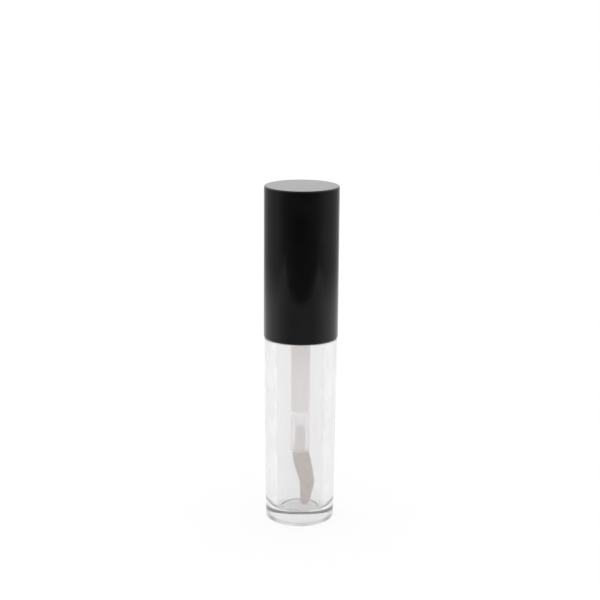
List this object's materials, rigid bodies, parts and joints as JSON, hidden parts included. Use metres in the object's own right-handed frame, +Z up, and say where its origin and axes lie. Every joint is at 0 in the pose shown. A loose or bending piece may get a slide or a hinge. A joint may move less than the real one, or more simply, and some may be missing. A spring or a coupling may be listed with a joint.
{
  "type": "lip gloss tube",
  "caption": "Round clear thick-walled tube with a long glossy black screw cap that carries a translucent wand with a flocked, bent doe-foot tip.",
  "frame": {"origin": "centre of the foot of the bottle, on the surface it stands on", "axes": "+Z up along the tube's axis, -Y the front, +X to its right; the applicator's tip leans to +X and 35 degrees towards the front"},
  "size_m": [0.016, 0.016, 0.074],
  "materials": {
    "clear_bottle": "clear, polished, injection moulded",
    "wiper_plastic": "milky soft plastic, as moulded",
    "seal_foam": "fine foam, matt",
    "insert_plastic": "natural plastic, satin",
    "black_cap": "high gloss black",
    "rod_plastic": "translucent natural plastic, satin",
    "core_plastic": "natural plastic, satin",
    "flock": "fine off-white flock"
  },
  "bodies": {
    "bottle": {"bottle": "clear_bottle"},
    "wiper": {"wiper": "wiper_plastic"},
    "seal": {"seal_washer": "seal_foam"},
    "cap": {"cap_shell": "black_cap", "cap_insert": "insert_plastic", "wand_rod": "rod_plastic", "applicator_core": "core_plastic", "flocked_tip": "flock"}
  },
  "joints": [
    {"name": "cap_turn", "type": "hinge", "parent": "bottle", "child": "wiper", "pos_m": [0, 0, 0.047], "axis": [0, 0, 1], "range_deg": [0, 540]},
    {"name": "cap_pull", "type": "slide", "parent": "wiper", "child": "seal", "axis": [0, 0, 1], "range_m": [0, 0.062], "deforming": ["wiper"]},
    {"name": "cap_rise", "type": "slide", "parent": "seal", "child": "cap", "axis": [0, 0, 1], "range_m": [0, 0.0046]}
  ],
  "couplings": [
    {"joint": "cap_rise", "follows": "cap_turn", "m_per_rad": 0.00047746}
  ]
}
